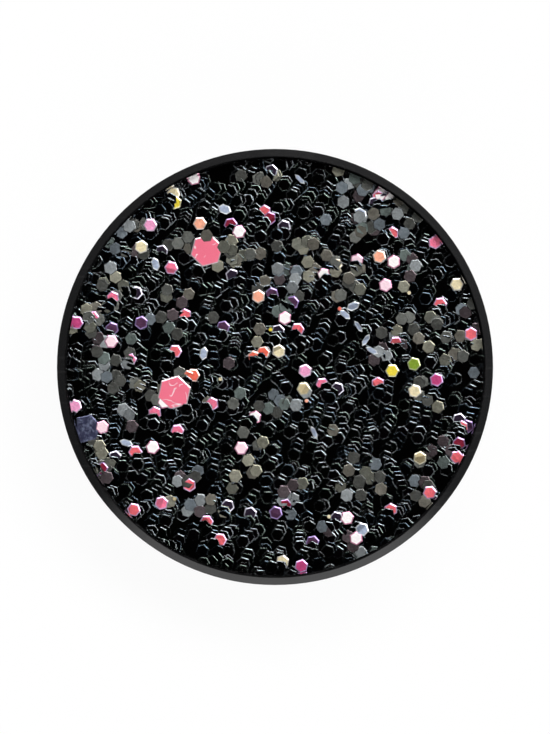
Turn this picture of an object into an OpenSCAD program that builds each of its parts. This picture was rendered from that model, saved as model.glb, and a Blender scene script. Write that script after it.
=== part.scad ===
// Round eyeshadow palette: a flat compact case with a glitter inlay in its lid, a mirror and seven pans.
// It stands on its base. The latch button is at the front (-Y) and the hinge is at the back (+Y).
// All sizes are in millimetres, and the case is shut.

/* [Case] */
// Height of the base, from the table to its rim
base_h = 7.6; // [7.4:0.1:9]
// Gap at the parting line between the base and the shut lid
shut_gap = 0.2; // [0.1:0.05:0.3]
// Thickness of the side walls
wall_t = 1.4; // [1.2:0.05:1.6]
// Thickness of the base's floor
floor_t = 1.2; // [1:0.1:1.5]
// Radius of the base's lower edge
foot_r = 1.2; // [0.6:0.1:1.6]
// Chamfer of the two edges that meet at the parting line
parting_chamfer = 0.2; // [0.1:0.05:0.3]
// Depth of the recess under the base
foot_recess = 0.3; // [0.15:0.05:0.4]
// Width of the ring that the base stands on, where it is narrowest, at the back
foot_ring_w = 1.8; // [1.2:0.1:4]
// Height of the rim on the base that the lid closes over
spigot_h = 0.6; // [0.3:0.05:0.7]
// Thickness of that rim
spigot_t = 0.6; // [0.4:0.05:0.65]
// Clearance round that rim in the lid
spigot_play = 0.15; // [0.12:0.01:0.2]
// Chamfer that leads the lid onto that rim
spigot_chamfer = 0.15; // [0.05:0.05:0.25]

/* [Lid top] */
// Width of the lip round the inlay
lip_w = 1.05; // [0.9:0.05:1.4]
// How far the lip slopes down from its inner to its outer edge
lip_drop = 0.5; // [0.2:0.05:0.8]
// Width of the narrow flat on the lip beside the inlay
lip_flat_w = 0.08; // [0.04:0.01:0.2]
// Gap between the inlay and the lip
inlay_gap = 0.25; // [0.15:0.05:0.4]
// Thickness of the glitter disc
glitter_t = 0.8; // [0.6:0.1:1.2]
// Thickness of the clear cover
cover_t = 1; // [0.8:0.1:1.4]
// How far the cover's face lies below the lip
cover_sink = 0.2; // [0.1:0.05:0.4]
// Chamfer of the clear cover's upper edge
cover_chamfer = 0.12; // [0.05:0.01:0.25]

/* [Lid inside] */
// Height of the lid, from its lower edge to the top of its lip
lid_h = 6.2; // [6:0.1:7.5]
// Thickness of the deck between the inlay and the mirror
deck_t = 1.4; // [1.1:0.1:1.8]
// Thickness of the lid's brim where it reaches out over the hinge
brim_t = 1; // [0.8:0.1:1.4]
// Width of the mirror's frame where it is narrowest, at the hinge
frame_w_back = 1.2; // [0.8:0.1:3]
// Thickness of the mirror
mirror_t = 1.2; // [1:0.1:1.4]
// Bevel round the mirror's visible face
mirror_bevel = 0.3; // [0.1:0.05:0.5]
// Thickness of the foam pad that holds the mirror
pad_t = 0.3; // [0.2:0.05:0.5]
// How far the foam pad stays inside the mirror's edge
pad_inset = 1; // [0.5:0.1:3]
// Thickness of the frame's bezel over the mirror's edge
bezel_t = 0.4; // [0.3:0.05:0.6]
// How far the bezel reaches over the mirror's edge
bezel_w = 0.6; // [0.3:0.05:1]
// Clearance round the mirror and round its frame
frame_gap = 0.15; // [0.1:0.01:0.2]

/* [Pans] */
// Outside diameter of one pan
pan_d = 15; // [13:0.25:18]
// Height of one pan
pan_h = 3.8; // [3.4:0.1:4]
// Thickness of a pan's sheet metal
pan_t = 0.3; // [0.2:0.05:0.4]
// Clearance round a pan in its well
pan_fit = 0.1; // [0.05:0.01:0.15]
// Width of the tray's web between two wells
web_w = 1.4; // [1.1:0.1:1.8]
// Room between the wells at the back and the base's flat back wall
back_room = 1.2; // [0.6:0.1:2]
// How far a pan's rim lies below the tray's face
pan_sink = 0.4; // [0.2:0.05:0.6]
// How far a cake's edge lies below its pan's rim
cake_sink = 0.25; // [0.1:0.05:0.5]
// Rise of a cake's slightly domed face
cake_dome = 0.15; // [0.05:0.05:0.25]

/* [Tray] */
// How far the tray's face lies below the base's rim
tray_sink = 0.6; // [0.55:0.05:0.8]
// Thickness of the tray's plate
plate_t = 1.2; // [0.9:0.1:1.4]
// Thickness of a well's wall and floor
well_t = 0.8; // [0.6:0.05:0.9]
// Clearance between the tray and the base's wall
tray_gap = 0.12; // [0.08:0.01:0.16]
// Diameter of the hole under each pan, through which it is pushed out
poke_d = 3; // [2:0.5:5]
// Chamfer round the mouth of each well
well_chamfer = 0.3; // [0.1:0.05:0.4]
// How far each snap ledge reaches in over the tray
snap_w = 0.35; // [0.25:0.05:0.45]

/* [Hinge] */
// Diameter of the hinge pin
pin_d = 1; // [0.8:0.1:1.2]
// Radius of the hinge knuckles
knuckle_r = 1.4; // [1.2:0.05:1.5]
// Length of the whole hinge along its axis
hinge_w = 16; // [14:0.5:18]
// Length of the lid's middle knuckle
lid_knuckle_w = 6; // [5:0.5:7]
// Side gap between neighbouring knuckles
knuckle_gap = 0.2; // [0.1:0.05:0.3]
// Radial clearance of the pin in the lid's knuckle
pin_play = 0.05; // [0.03:0.01:0.08]
// How far the pin's ends lie inside the outer knuckles
pin_inset = 0.4; // [0.2:0.1:1]
// Clearance round a knuckle in the other half of the case
knuckle_play = 0.2; // [0.15:0.05:0.3]
// How far the hinge's knuckles stay inside the case's outline
outline_margin = 0.2; // [0.1:0.01:0.3]
// Distance from the hinge axis forward to the flat backs of base and lid
flat_setback = 0.9; // [0.8:0.05:1.1]
// Opening angle at which the lid's brim meets the base's sill
stop_deg = 133; // [125:1:138]

/* [Latch] */
// Width of the button's face
button_w = 10.6; // [9:0.2:12]
// How far the button's face lies inside the case's outline
button_sink = 0.15; // [0.05:0.05:0.3]
// Depth of the finger scoop in the button's face
scoop_depth = 0.35; // [0.2:0.05:0.5]
// Clearance round the button in its window and round its sliding frame
slide_gap = 0.15; // [0.1:0.01:0.2]
// Travel of the button
travel = 0.8; // [0.7:0.05:0.9]
// Width of the lid's tongue
tongue_w = 3.2; // [2.6:0.1:3.6]
// Thickness of the lid's tongue
tongue_t = 1.2; // [1:0.05:1.3]
// Reach of the nose on the tongue
nose_reach = 0.6; // [0.5:0.05:0.7]
// Gap between the tongue and the ledge that catches it
catch_gap = 0.2; // [0.15:0.05:0.25]
// Height of the catch ledge
ledge_h = 1.2; // [1:0.1:1.3]
// Height of the nose's flat face
nose_face_h = 0.6; // [0.4:0.05:0.8]
// Height of the ramp below the nose's face
nose_ramp_h = 1.2; // [0.9:0.05:1.4]
// Thickness of the sliding yoke's arms
arm_t = 1.1; // [0.9:0.05:1.3]
// Thickness of the yoke's cross wall behind the ledge
stem_t = 0.8; // [0.6:0.05:1]
// How far the yoke's ears reach past each side of the button
ear_reach = 1.1; // [0.8:0.1:1.4]
// Thickness of the yoke's ears
ear_t = 1; // [0.8:0.1:1.2]
// Height of the rails that guide the yoke
rail_h = 2; // [1.5:0.1:2.5]
// Thickness of the rails that guide the yoke
rail_t = 0.8; // [0.6:0.05:1]
// Outside diameter of the latch spring
spring_d = 2.2; // [2:0.1:2.4]
// Diameter of the spring's wire
wire_d = 0.25; // [0.2:0.01:0.28]
// Length of the spring with the button out
spring_l = 2.3; // [2.2:0.05:2.6]
// Thickness of the post behind the spring
post_t = 0.8; // [0.6:0.05:1]
// Length of the bosses that centre the spring on the yoke and on the post
boss_l = 0.5; // [0.3:0.05:0.6]

/* [Hidden] */
$fn = 96;
over = 0.1;

// Colours
black_gloss = "#141416";
black_satin = "#232326";
tin = "#B9BBC0";
steel = "#8E9196";
glitter_black = "#2A2A30";
mirror_grey = "#C9D2D8";
powders = ["#17161A", "#E9D3BF", "#E6788A", "#5A5A52", "#4A3350", "#C9A25A", "#F2EDF0"];

// Ring of wells round the middle one. Its size sets how far back the flat wall and the hinge lie,
// and the hinge, which stays inside the round outline, sets the case's radius.
well_r = pan_d / 2 + pan_fit;
cup_r = well_r + well_t;
pitch = pan_d + 2 * pan_fit + web_w;
pan_spots = concat([[0, 0]], [for (k = [0:5]) pitch * [cos(60 * k), sin(60 * k)]]);
flat_in = pitch * sin(60) + cup_r + back_room;
flat_y = flat_in + wall_t;
hinge_y = flat_y + flat_setback;
case_r = sqrt(pow(hinge_y + knuckle_r + outline_margin, 2) + pow(hinge_w / 2, 2));
case_d = 2 * case_r;

// Case
inner_r = case_r - wall_t;
lid_z = base_h + shut_gap;
lid_top = lid_z + lid_h;
inlay_r = case_r - lip_w - inlay_gap;
cover_top = lid_top - cover_sink;
cover_z = cover_top - cover_t;
deck_top = cover_z - glitter_t;
deck_z = deck_top - deck_t;
brim_z = deck_top - brim_t;

// Mirror and its frame
mirror_r = flat_in - 2 * frame_gap - frame_w_back;
mirror_z = deck_z - pad_t - mirror_t;
frame_z = mirror_z - bezel_t;
frame_r = inner_r - frame_gap;

// Hinge
hinge_z = base_h + shut_gap / 2;
brim_y = case_r - hinge_y;
brim_rise = brim_z - hinge_z;
sill_y = hinge_y + brim_y * cos(stop_deg) + brim_rise * sin(stop_deg);
sill_z = hinge_z - 2 * knuckle_r;
sill_chamfer = foot_r / 2;
pin_l = hinge_w - 2 * pin_inset;
outer_knuckle_w = (hinge_w - lid_knuckle_w) / 2 - knuckle_gap;
web_back = hinge_y + knuckle_r - 0.4;

// Ring under the base, and the rim on it that ends short of the flat back
recess_r = sill_y - sill_chamfer - foot_ring_w - foot_recess;
spigot_r = inner_r + spigot_t;
spigot_y = flat_in - 2 * wall_t;

// Tray, wells and pans
tray_z = base_h - tray_sink;
plate_z = tray_z - plate_t;
well_z = tray_z - pan_sink - pan_h;
cup_z = well_z - well_t;
pan_rim_z = tray_z - pan_sink;
cake_r = pan_d / 2 - pan_t;
cake_z = well_z + pan_t;
cake_edge_z = pan_rim_z - cake_sink;
dome_r = (pow(cake_r, 2) + pow(cake_dome, 2)) / (2 * cake_dome);

// Latch, from the button's face inwards
plate_depth = 0.4;
tongue_room = 0.4;
slot_gap = 0.3;
catch_play = 0.1;
tip_h = 0.2;
tongue_swing = 0.5;
window_lip = 0.4;
spring_gap = 0.2;
button_r = case_r - button_sink;
slide_z = floor_t + slide_gap;
slide_top = plate_z - slide_gap;
window_z = slide_z + window_lip;
face_z = window_z + slide_gap;
window_top = slide_top + slide_gap;
plate_y = -(inner_r - plate_depth);
tongue_y = plate_y + travel + tongue_room;
tongue_back = tongue_y + tongue_t;
ledge_y = tongue_back + catch_gap;
nose_y = tongue_back + nose_reach;
stem_y = nose_y + slot_gap;
stem_back = stem_y + stem_t;
ledge_z = slide_top - ledge_h;
nose_top = ledge_z - catch_play;
nose_face_z = nose_top - nose_face_h;
nose_ramp_z = nose_face_z - nose_ramp_h;
tongue_z = nose_ramp_z - tip_h;
slot_w = tongue_w + 2 * slot_gap;
yoke_w = slot_w + 2 * arm_t;
ear_w = button_w + 2 * ear_reach;
ear_y = -(sqrt(pow(inner_r, 2) - pow(ear_w / 2, 2)) - slide_gap);
spring_z = (slide_z + slide_top) / 2;
post_y = stem_back + spring_l;
boss_r = spring_d / 2 - wire_d - spring_gap;

// A disc whose back is cut off flat at y
module flat_disc(r, y) {
    intersection() {
        circle(r = r);
        translate([-r - 1, -r - 1]) square([2 * r + 2, r + 1 + y]);
    }
}

// A Y-Z outline drawn out along X, centred on x = 0
module along_x(w) {
    rotate([90, 0, 90]) translate([0, 0, -w / 2]) linear_extrude(w) children();
}

// A box between two corners, centred on x = 0
module block(w, y0, y1, z0, z1) {
    translate([-w / 2, y0, z0]) cube([w, y1 - y0, z1 - z0]);
}

module hinge_cylinder(r, w) {
    translate([0, hinge_y, hinge_z]) along_x(w) circle(r = r);
}

// Half outline of the base: rounded foot, straight wall, chamfer at the parting line and the rim inside it
module base_outline() {
    square([case_r - foot_r, base_h - parting_chamfer]);
    translate([0, foot_r]) square([case_r, base_h - parting_chamfer - foot_r]);
    translate([case_r - foot_r, foot_r]) circle(r = foot_r);
    translate([0, base_h - parting_chamfer]) polygon([
        [0, 0], [case_r, 0], [case_r - parting_chamfer, parting_chamfer], [0, parting_chamfer]]);
    polygon([[0, floor_t], [spigot_r, floor_t], [spigot_r, base_h + spigot_h - spigot_chamfer],
        [spigot_r - spigot_chamfer, base_h + spigot_h], [0, base_h + spigot_h]]);
}

// Half outline of the lid: chamfer, straight wall and sloping lip
module lid_outline() {
    polygon([[0, lid_z], [case_r - parting_chamfer, lid_z], [case_r, lid_z + parting_chamfer],
        [case_r, lid_top - lip_drop], [case_r - lip_w + lip_flat_w, lid_top], [0, lid_top]]);
}

module base_solid() {
    intersection() {
        rotate_extrude() base_outline();
        union() {
            linear_extrude(sill_z) flat_disc(case_r, sill_y);
            linear_extrude(base_h) flat_disc(case_r, flat_y);
            linear_extrude(base_h + spigot_h) flat_disc(case_r, spigot_y);
        }
        along_x(case_d) polygon([[-case_r, 0], [sill_y - sill_chamfer, 0], [sill_y, sill_chamfer],
            [sill_y, base_h + spigot_h], [-case_r, base_h + spigot_h]]);
    }
}

// The recess under the base, with a chamfered edge
module base_recess() {
    translate([0, 0, -over])
        cylinder(r1 = recess_r + foot_recess + over, r2 = recess_r, h = foot_recess + over);
}

module base_cavity() {
    translate([0, 0, floor_t]) linear_extrude(base_h) flat_disc(inner_r, flat_in);
    translate([0, 0, floor_t]) linear_extrude(sill_z - wall_t - floor_t)
        flat_disc(inner_r, sill_y - wall_t);
}

// One outer knuckle on its foot, which stands on the sill
module base_knuckle() {
    along_x(outer_knuckle_w) {
        translate([hinge_y, hinge_z]) circle(r = knuckle_r);
        translate([flat_y - 0.4, sill_z - over]) square([sill_y - flat_y + 0.4, hinge_z - sill_z + over]);
    }
}

// Low rings under the wells, on which the tray stands
module well_rings() {
    ring_r = cup_r * 0.65;
    for (spot = pan_spots) translate([spot[0], spot[1], floor_t - over])
        linear_extrude(cup_z - floor_t + over) difference() {
            circle(r = ring_r);
            circle(r = ring_r - well_t);
        }
}

// Four ledges on the wall that hold the tray down
module snap_ledges() {
    ledge_span = 9;
    for (turn = [45:90:315]) rotate(turn - ledge_span / 2) rotate_extrude(angle = ledge_span) polygon([
        [inner_r + over, tray_z + 0.05], [inner_r, tray_z + 0.05], [inner_r - snap_w, tray_z + 0.15],
        [inner_r, tray_z + 0.45], [inner_r + over, tray_z + 0.45]]);
}

module button_rails() {
    for (side = [-1, 1]) translate([side * (yoke_w / 2 + slide_gap + rail_t / 2), 0, 0])
        block(rail_t, ear_y + ear_t + travel + slide_gap, stem_back, floor_t - over, floor_t + rail_h);
}

module spring_post() {
    block(spring_d, post_y, post_y + post_t, floor_t - over, spring_z + spring_d / 2);
    translate([0, post_y + over, spring_z]) rotate([90, 0, 0]) cylinder(r = boss_r, h = boss_l + over);
}

module base_shell() {
    knuckle_x = (hinge_w - outer_knuckle_w) / 2;
    color(black_gloss) difference() {
        union() {
            difference() {
                base_solid();
                base_cavity();
            }
            for (side = [-1, 1]) translate([side * knuckle_x, 0, 0]) base_knuckle();
            well_rings();
            snap_ledges();
            button_rails();
            spring_post();
        }
        hinge_cylinder(pin_d / 2, case_d);
        hinge_cylinder(knuckle_r + knuckle_play, lid_knuckle_w + 2 * knuckle_gap);
        block(button_w + 2 * slide_gap, -case_r - 1, ear_y, window_z, window_top);
        base_recess();
    }
}

module pan_tray() {
    color(black_satin) difference() {
        union() {
            translate([0, 0, plate_z]) linear_extrude(plate_t)
                flat_disc(inner_r - tray_gap, flat_in - tray_gap);
            for (spot = pan_spots) translate([spot[0], spot[1], cup_z])
                cylinder(r = cup_r, h = plate_z - cup_z + over);
        }
        for (spot = pan_spots) translate([spot[0], spot[1], 0]) {
            translate([0, 0, well_z]) cylinder(r = well_r, h = tray_z);
            translate([0, 0, tray_z - well_chamfer])
                cylinder(r1 = well_r, r2 = well_r + well_chamfer + over, h = well_chamfer + over);
            cylinder(d = poke_d, h = tray_z);
        }
        block(slot_w, tongue_y - tongue_swing, nose_y + slot_gap, plate_z - over, tray_z + over);
    }
}

// A pan: thin drawn cup with a small bevel under its rim's foot
module pan() {
    foot = 0.4;
    color(tin) rotate_extrude() polygon([
        [0, 0], [pan_d / 2 - foot, 0], [pan_d / 2, foot], [pan_d / 2, pan_h],
        [pan_d / 2 - pan_t, pan_h], [pan_d / 2 - pan_t, pan_t], [0, pan_t]]);
}

// A cake of pressed powder with a slightly domed face
module cake() {
    edge_h = cake_edge_z - cake_z;
    rotate_extrude() intersection() {
        square([cake_r, edge_h + cake_dome]);
        translate([0, edge_h + cake_dome - dome_r]) circle(r = dome_r, $fn = 720);
    }
}

module pan_at(n) {
    spot = pan_spots[n - 1];
    translate([spot[0], spot[1], well_z]) pan();
}

module shadow_at(n) {
    spot = pan_spots[n - 1];
    color(powders[n - 1]) translate([spot[0], spot[1], cake_z]) cake();
}

// The tongue that hangs from the lid behind its front wall, with its nose turned inwards
module tongue() {
    lead = 0.3;
    along_x(tongue_w) polygon([
        [tongue_y, deck_z + over], [tongue_y, tongue_z + lead], [tongue_y + lead, tongue_z],
        [tongue_back - lead, tongue_z], [tongue_back, nose_ramp_z], [nose_y, nose_face_z],
        [nose_y, nose_top], [tongue_back, nose_top], [tongue_back, deck_z + over]]);
    along_x(tongue_w / 3) polygon([
        [-inner_r - over, deck_z + over], [-inner_r - over, lid_z + spigot_h], [-inner_r, lid_z + spigot_h],
        [tongue_y + over, lid_z + spigot_h / 3], [tongue_y + over, deck_z + over]]);
}

module lid_shell() {
    color(black_gloss) difference() {
        union() {
            difference() {
                intersection() {
                    rotate_extrude() lid_outline();
                    union() {
                        linear_extrude(brim_z + over) flat_disc(case_r, flat_y);
                        translate([0, 0, brim_z]) cylinder(r = case_r, h = lid_h);
                    }
                }
                translate([0, 0, lid_z - over]) linear_extrude(deck_z - lid_z + over)
                    flat_disc(inner_r, flat_in);
                translate([0, 0, lid_z - over]) linear_extrude(spigot_h + over)
                    flat_disc(spigot_r + spigot_play, spigot_y + spigot_play);
                translate([0, 0, deck_top]) cylinder(r = case_r - lip_w, h = lid_h);
                for (side = [-1, 1]) translate([side * (hinge_w + lid_knuckle_w) / 4, 0, 0])
                    hinge_cylinder(knuckle_r + knuckle_play,
                        (hinge_w - lid_knuckle_w) / 2 + 2 * knuckle_gap);
            }
            along_x(lid_knuckle_w) {
                translate([hinge_y, hinge_z]) circle(r = knuckle_r);
                translate([flat_y - 0.4, hinge_z])
                    square([web_back - flat_y + 0.4, brim_z - hinge_z + over]);
            }
            tongue();
        }
        hinge_cylinder(pin_d / 2 + pin_play, case_d);
    }
}

module glitter_disc() {
    color(glitter_black) translate([0, 0, deck_top]) cylinder(r = inlay_r, h = glitter_t);
}

module clear_cover() {
    color(mirror_grey, 0.35) translate([0, 0, cover_z]) rotate_extrude() polygon([
        [0, 0], [inlay_r, 0], [inlay_r, cover_t - cover_chamfer],
        [inlay_r - cover_chamfer, cover_t], [0, cover_t]]);
}

module mirror_pad() {
    color(black_satin) translate([0, 0, deck_z - pad_t]) cylinder(r = mirror_r - pad_inset, h = pad_t);
}

module mirror_glass() {
    color(mirror_grey) translate([0, 0, mirror_z]) rotate_extrude() polygon([
        [0, 0], [mirror_r - mirror_bevel, 0], [mirror_r, mirror_bevel],
        [mirror_r, mirror_t], [0, mirror_t]]);
}

// The ring round the mirror, notched at the front for the tongue
module mirror_frame() {
    color(black_satin) difference() {
        translate([0, 0, frame_z]) linear_extrude(deck_z - frame_z) flat_disc(frame_r, flat_in - frame_gap);
        translate([0, 0, mirror_z]) cylinder(r = mirror_r + frame_gap, h = lid_h);
        translate([0, 0, frame_z - over]) cylinder(r = mirror_r - bezel_w, h = lid_h);
        block(tongue_w + 2 * frame_gap, -case_r, tongue_back + frame_gap, frame_z - over, lid_top);
    }
}

module hinge_pin() {
    tip = 0.15;
    color(steel) translate([-pin_l / 2, hinge_y, hinge_z]) rotate([0, 90, 0]) rotate_extrude() polygon([
        [0, 0], [pin_d / 2 - tip, 0], [pin_d / 2, tip], [pin_d / 2, pin_l - tip],
        [pin_d / 2 - tip, pin_l], [0, pin_l]]);
}

// The button's face follows the case's round wall and has a shallow scoop for a fingertip
module button_face() {
    scoop_r = 5;
    scoop_y = -(button_r + scoop_r - scoop_depth);
    difference() {
        intersection() {
            cylinder(r = button_r, h = slide_top);
            block(button_w, -case_r, plate_y, face_z, slide_top);
        }
        translate([0, scoop_y, (face_z + slide_top) / 2]) along_x(button_w + 1) circle(r = scoop_r);
    }
}

module latch_button() {
    color(black_gloss) {
        button_face();
        difference() {
            union() {
                block(yoke_w, plate_y - over, stem_back, slide_z, slide_top);
                block(ear_w, ear_y, ear_y + ear_t, slide_z, slide_top);
            }
            block(slot_w, plate_y, ledge_y, slide_z - over, slide_top + over);
            block(slot_w, ledge_y - over, stem_y, slide_z - over, ledge_z);
        }
        translate([0, stem_back - over, spring_z]) rotate([-90, 0, 0])
            cylinder(r = boss_r, h = boss_l + over);
    }
}

// Spring: one wire swept along a helix about a Y axis, with its first and last turns lying flat
spring_turns = 5;
spring_steps = 16;
wire_sides = 6;
coil_r = (spring_d - wire_d) / 2;
open_turns = spring_turns - 2;
open_pitch = (spring_l - wire_d - 2 * wire_d * 1.02) / open_turns;

function coil_y(s) = s < 1 ? s * wire_d * 1.02
    : s < spring_turns - 1 ? wire_d * 1.02 + (s - 1) * open_pitch
    : wire_d * 1.02 + open_turns * open_pitch + (s - spring_turns + 1) * wire_d * 1.02;

function wire_point(s, side) =
    let (turn = 360 * s, tilt = 360 * side / wire_sides, r = coil_r + wire_d / 2 * cos(tilt))
    [r * cos(turn), coil_y(s) + wire_d / 2 * (1 + sin(tilt)), r * sin(turn)];

module latch_spring() {
    last = spring_turns * spring_steps;
    points = [for (i = [0:last]) for (j = [0:wire_sides - 1]) wire_point(i / spring_steps, j)];
    sides = [for (i = [0:last - 1]) for (j = [0:wire_sides - 1])
        let (k = (j + 1) % wire_sides, a = i * wire_sides, b = a + wire_sides)
        [a + j, b + j, b + k, a + k]];
    first_cap = [for (j = [0:wire_sides - 1]) j];
    last_cap = [for (j = [wire_sides - 1:-1:0]) last * wire_sides + j];
    color(steel) translate([0, stem_back, spring_z])
        polyhedron(points = points, faces = concat(sides, [first_cap], [last_cap]), convexity = 6);
}

base_shell();
pan_tray();
pan_at(1);  // pan_1
pan_at(2);  // pan_2
pan_at(3);  // pan_3
pan_at(4);  // pan_4
pan_at(5);  // pan_5
pan_at(6);  // pan_6
pan_at(7);  // pan_7
shadow_at(1);  // shadow_1
shadow_at(2);  // shadow_2
shadow_at(3);  // shadow_3
shadow_at(4);  // shadow_4
shadow_at(5);  // shadow_5
shadow_at(6);  // shadow_6
shadow_at(7);  // shadow_7
lid_shell();
glitter_disc();
clear_cover();
mirror_pad();
mirror_glass();  // mirror
mirror_frame();
hinge_pin();
latch_button();
latch_spring();
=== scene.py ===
"""Looks for a round eyeshadow compact: a black case with a glitter lid, seven pans and a mirror."""

from math import cos, pi, radians, sin, sqrt

import bpy
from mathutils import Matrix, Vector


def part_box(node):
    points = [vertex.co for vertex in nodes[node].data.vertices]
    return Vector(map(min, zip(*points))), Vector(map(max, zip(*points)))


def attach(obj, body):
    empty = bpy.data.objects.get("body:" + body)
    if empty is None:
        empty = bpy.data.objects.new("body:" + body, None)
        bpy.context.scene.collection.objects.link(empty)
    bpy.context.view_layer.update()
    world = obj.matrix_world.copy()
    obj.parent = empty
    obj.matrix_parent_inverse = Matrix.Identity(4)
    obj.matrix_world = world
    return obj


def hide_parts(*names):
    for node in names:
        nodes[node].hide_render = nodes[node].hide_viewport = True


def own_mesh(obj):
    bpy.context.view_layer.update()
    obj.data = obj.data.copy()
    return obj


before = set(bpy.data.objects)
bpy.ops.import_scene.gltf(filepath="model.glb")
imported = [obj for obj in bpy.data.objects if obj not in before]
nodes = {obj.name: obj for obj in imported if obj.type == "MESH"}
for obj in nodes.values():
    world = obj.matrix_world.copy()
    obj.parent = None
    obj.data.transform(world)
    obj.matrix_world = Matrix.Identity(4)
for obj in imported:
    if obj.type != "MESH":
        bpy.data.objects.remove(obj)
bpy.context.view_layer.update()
MM = 0.001


# ---------------------------------------------------------------- node helpers

def add(tree, kind, inputs=None, **settings):
    """Add a node, set its properties, then fill or link its inputs by name or number."""
    made = tree.nodes.new(kind)
    for name, value in settings.items():
        setattr(made, name, value)
    for name, value in (inputs or {}).items():
        if value is not None:
            fill(tree, made.inputs[name], value)
    return made


def new(tree, kind, inputs=None, **settings):
    """Add a node and give its first output."""
    return add(tree, kind, inputs, **settings).outputs[0]


def fill(tree, socket, value):
    """Link a socket if the value is one, and set it otherwise."""
    if isinstance(value, bpy.types.NodeSocket):
        tree.links.new(value, socket)
    else:
        socket.default_value = value


def fill_named(tree, sockets, values):
    """Fill sockets by their names; an underscore stands for a space."""
    for name, value in values.items():
        fill(tree, sockets[name.replace("_", " ")], value)


def math(tree, operation, a, b=None, c=None, clamp=False):
    return new(tree, "ShaderNodeMath", {0: a, 1: b, 2: c}, operation=operation, use_clamp=clamp)


def chain(tree, operation, first, *others):
    """One math node for each of the others, worked from left to right."""
    for other in others:
        first = math(tree, operation, first, other)
    return first


def times(tree, *values):
    return chain(tree, "MULTIPLY", *values)


def plus(tree, *values):
    return chain(tree, "ADD", *values)


def minus(tree, a, b):
    return math(tree, "SUBTRACT", a, b)


def vector_math(tree, operation, a, b=None, scale=None):
    made = add(tree, "ShaderNodeVectorMath", {0: a, 1: b, "Scale": scale}, operation=operation)
    return made.outputs["Value" if operation in ("LENGTH", "DOT_PRODUCT") else "Vector"]


def combine(tree, x=0.0, y=0.0, z=0.0):
    return new(tree, "ShaderNodeCombineXYZ", {0: x, 1: y, 2: z})


def split(tree, vector):
    return add(tree, "ShaderNodeSeparateXYZ", {0: vector}).outputs


def split_colour(tree, colour):
    return add(tree, "ShaderNodeSeparateColor", {0: colour}).outputs


def from_axis(tree, at):
    """How far a place is from the upright axis."""
    return math(tree, "SQRT", plus(tree, math(tree, "POWER", at[0], 2.0), math(tree, "POWER", at[1], 2.0)))


def remap(tree, value, low, high, to_low=0.0, to_high=1.0, smooth=False):
    return new(tree, "ShaderNodeMapRange", {0: value, 1: low, 2: high, 3: to_low, 4: to_high},
               interpolation_type="SMOOTHSTEP" if smooth else "LINEAR")


def mix_colour(tree, factor, a, b, blend="MIX"):
    return add(tree, "ShaderNodeMix", {0: factor, 6: a, 7: b}, data_type="RGBA", blend_type=blend).outputs[2]


def mix_value(tree, factor, a, b):
    return new(tree, "ShaderNodeMix", {0: factor, 2: a, 3: b})


def noise(tree, where, scale, detail=2.0, roughness=0.5, distortion=0.0):
    return new(tree, "ShaderNodeTexNoise", {"Vector": where, "Scale": scale, "Detail": detail,
                                            "Roughness": roughness, "Distortion": distortion})


def cells(tree, where, scale, **settings):
    return add(tree, "ShaderNodeTexVoronoi", {"Vector": where, "Scale": scale}, **settings).outputs


def steps(tree, value, colours):
    """A constant ramp with one stop for each colour."""
    made = tree.nodes.new("ShaderNodeValToRGB")
    made.color_ramp.interpolation = "CONSTANT"
    stops = made.color_ramp.elements
    while len(stops) < len(colours):
        stops.new(0.5)
    for number in range(len(colours)):
        stops[number].position = number / len(colours)
    for number, colour in enumerate(colours):
        stops[number].color = colour
    fill(tree, made.inputs[0], value)
    return made.outputs[0]


def bump(tree, height, distance, normal=None):
    return new(tree, "ShaderNodeBump", {"Height": height, "Distance": distance, "Strength": 1.0,
                                        "Normal": normal})


def centred(tree, where, middle):
    """Coordinates measured from a piece's own middle, in metres."""
    return new(tree, "ShaderNodeMapping", {"Vector": where, "Location": [-c for c in middle]})


def srgb(code):
    """Linear colour for a hex code as it is seen."""
    parts = [int(code[n:n + 2], 16) / 255 for n in (0, 2, 4)]
    return tuple(p / 12.92 if p <= 0.04045 else ((p + 0.055) / 1.055) ** 2.4 for p in parts) + (1,)


def grey(level):
    return (level, level, level, 1)


def toned(colour, share):
    """A colour made darker or lighter."""
    return [min(1, c * share) for c in colour[:3]] + [1]


FLOAT, VECTOR, GEOMETRY = "NodeSocketFloat", "NodeSocketVector", "NodeSocketGeometry"


def group(name, kind, ins, outs):
    """A node group with named sockets, its input sockets and its output sockets."""
    made = bpy.data.node_groups.new(name, kind)
    for label, socket_type, value in ins:
        socket = made.interface.new_socket(name=label, in_out="INPUT", socket_type=socket_type)
        if value is not None:
            socket.default_value = value
    for label, socket_type in outs:
        made.interface.new_socket(name=label, in_out="OUTPUT", socket_type=socket_type)
    return made, made.nodes.new("NodeGroupInput").outputs, made.nodes.new("NodeGroupOutput").inputs


def effect(name, outs, **ins):
    """A shader node group that reads a vector and numbers, and puts out numbers."""
    sockets = [("Vector", VECTOR, None)] + [(label.replace("_", " "), FLOAT, ins[label]) for label in ins]
    return group(name, "ShaderNodeTree", sockets, [(label, FLOAT) for label in outs])


def place(tree, made_group, **values):
    """A group node with its inputs filled."""
    made = add(tree, "ShaderNodeGroup", node_tree=made_group)
    fill_named(tree, made.inputs, values)
    return made.outputs


def bare_tree(owner):
    """The node tree of a material or world, emptied."""
    owner.use_nodes = True
    owner.node_tree.nodes.clear()
    return owner.node_tree


def material(name):
    """An empty node material with its Principled shader and object coordinates."""
    made = bpy.data.materials.new(name)
    tree = bare_tree(made)
    shader = add(tree, "ShaderNodeBsdfPrincipled")
    add(tree, "ShaderNodeOutputMaterial", {0: shader.outputs[0]})
    where = add(tree, "ShaderNodeTexCoord").outputs["Object"]
    return made, tree, shader.inputs, where


# ---------------------------------------------------------------- shared effects

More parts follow.
